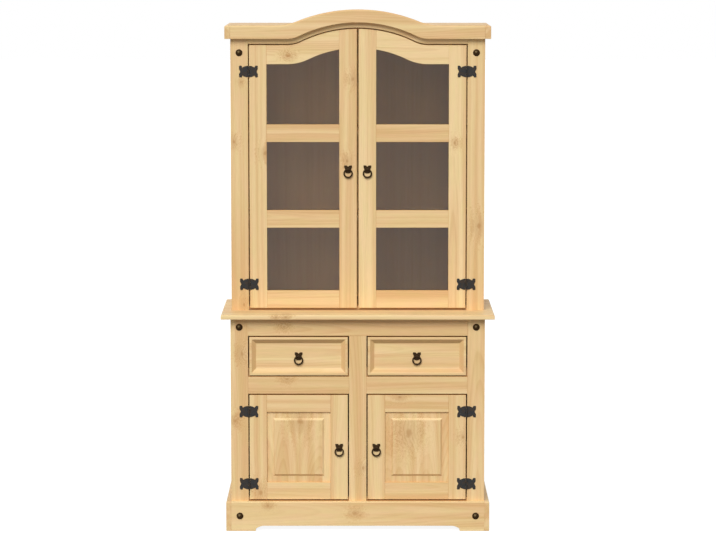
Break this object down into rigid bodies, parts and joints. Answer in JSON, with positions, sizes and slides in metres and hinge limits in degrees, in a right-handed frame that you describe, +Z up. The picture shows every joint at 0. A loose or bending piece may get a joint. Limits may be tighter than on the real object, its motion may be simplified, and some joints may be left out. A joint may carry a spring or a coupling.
{
  "type": "trastero cabinet",
  "caption": "Pine cabinet: a base with drawers and panelled doors on a bracketed plinth, under a glazed cabinet with an arched cornice and black iron ring pulls.",
  "frame": {"origin": "on the floor, in the middle of the cabinet's width and depth", "axes": "+X to the viewer's right, the doors face -Y, +Z up"},
  "size_m": [1.02, 0.46, 1.95],
  "materials": {
    "pine": "clear satin lacquer over knotty pine",
    "back_board": "pine plywood, clear satin lacquer",
    "black_iron": "black, lightly worn",
    "glass": "clear"
  },
  "bodies": {
    "cabinet": {"arched_fascia": "pine", "cornice_front": "pine", "cornice_sides": "pine", "drawer_runners": "pine", "hinge_frame_leaves": "black_iron", "iron_studs": "black_iron", "lower_back_panel": "back_board", "lower_bottom_rail": "pine", "lower_divider": "pine", "lower_floor": "pine", "lower_mid_rails": "pine", "lower_shelves": "pine", "lower_sides": "pine", "lower_stiles": "pine", "lower_top_rail": "pine", "plinth_front": "pine", "plinth_sides": "pine", "roof_board": "pine", "table_top": "pine", "upper_back_panel": "back_board", "upper_floor": "pine", "upper_shelves": "pine", "upper_sides": "pine", "upper_stiles": "pine"},
    "upper_left_door": {"upper_left_door_cross_rails": "pine", "upper_left_door_glass": "glass", "upper_left_door_hinge_leaves": "black_iron", "upper_left_door_pull_plate": "black_iron", "upper_left_door_stiles": "pine", "upper_left_door_top_rail": "pine"},
    "upper_left_door_ring": {"upper_left_door_ring": "black_iron"},
    "lower_left_door": {"lower_left_door_hinge_leaves": "black_iron", "lower_left_door_panel": "pine", "lower_left_door_pull_plate": "black_iron", "lower_left_door_rails": "pine", "lower_left_door_stiles": "pine"},
    "lower_left_door_ring": {"lower_left_door_ring": "black_iron"},
    "left_drawer": {"left_drawer_bottom": "pine", "left_drawer_box": "pine", "left_drawer_front": "pine", "left_drawer_pull_plate": "black_iron"},
    "left_drawer_ring": {"left_drawer_ring": "black_iron"},
    "upper_right_door": {"upper_right_door_cross_rails": "pine", "upper_right_door_glass": "glass", "upper_right_door_hinge_leaves": "black_iron", "upper_right_door_pull_plate": "black_iron", "upper_right_door_stiles": "pine", "upper_right_door_top_rail": "pine"},
    "upper_right_door_ring": {"upper_right_door_ring": "black_iron"},
    "lower_right_door": {"lower_right_door_hinge_leaves": "black_iron", "lower_right_door_panel": "pine", "lower_right_door_pull_plate": "black_iron", "lower_right_door_rails": "pine", "lower_right_door_stiles": "pine"},
    "lower_right_door_ring": {"lower_right_door_ring": "black_iron"},
    "right_drawer": {"right_drawer_bottom": "pine", "right_drawer_box": "pine", "right_drawer_front": "pine", "right_drawer_pull_plate": "black_iron"},
    "right_drawer_ring": {"right_drawer_ring": "black_iron"}
  },
  "joints": [
    {"name": "upper_left_door_hinge", "type": "hinge", "parent": "cabinet", "child": "upper_left_door", "pos_m": [-0.40775, -0.094, 1.34], "axis": [0, 0, -1], "range_deg": [0, 110]},
    {"name": "lower_left_door_hinge", "type": "hinge", "parent": "cabinet", "child": "lower_left_door", "pos_m": [-0.40775, -0.199, 0.315], "axis": [0, 0, -1], "range_deg": [0, 110]},
    {"name": "left_drawer_slide", "type": "slide", "parent": "cabinet", "child": "left_drawer", "axis": [0, -1, 0], "range_m": [0, 0.25]},
    {"name": "upper_left_door_ring_pivot", "type": "hinge", "parent": "upper_left_door", "child": "upper_left_door_ring", "pos_m": [-0.03612, -0.0964, 1.35347], "axis": [-1, 0, 0], "range_deg": [0, 90]},
    {"name": "lower_left_door_ring_pivot", "type": "hinge", "parent": "lower_left_door", "child": "lower_left_door_ring", "pos_m": [-0.0695, -0.2014, 0.3149], "axis": [-1, 0, 0], "range_deg": [0, 90]},
    {"name": "left_drawer_ring_pivot", "type": "hinge", "parent": "left_drawer", "child": "left_drawer_ring", "pos_m": [-0.22125, -0.1879, 0.6599], "axis": [-1, 0, 0], "range_deg": [0, 90]},
    {"name": "upper_right_door_hinge", "type": "hinge", "parent": "cabinet", "child": "upper_right_door", "pos_m": [0.40775, -0.094, 1.34], "axis": [0, 0, 1], "range_deg": [0, 110]},
    {"name": "lower_right_door_hinge", "type": "hinge", "parent": "cabinet", "child": "lower_right_door", "pos_m": [0.40775, -0.199, 0.315], "axis": [0, 0, 1], "range_deg": [0, 110]},
    {"name": "right_drawer_slide", "type": "slide", "parent": "cabinet", "child": "right_drawer", "axis": [0, -1, 0], "range_m": [0, 0.25]},
    {"name": "upper_right_door_ring_pivot", "type": "hinge", "parent": "upper_right_door", "child": "upper_right_door_ring", "pos_m": [0.03612, -0.0964, 1.35347], "axis": [-1, 0, 0], "range_deg": [0, 90]},
    {"name": "lower_right_door_ring_pivot", "type": "hinge", "parent": "lower_right_door", "child": "lower_right_door_ring", "pos_m": [0.0695, -0.2014, 0.3149], "axis": [-1, 0, 0], "range_deg": [0, 90]},
    {"name": "right_drawer_ring_pivot", "type": "hinge", "parent": "right_drawer", "child": "right_drawer_ring", "pos_m": [0.22125, -0.1879, 0.6599], "axis": [-1, 0, 0], "range_deg": [0, 90]}
  ]
}
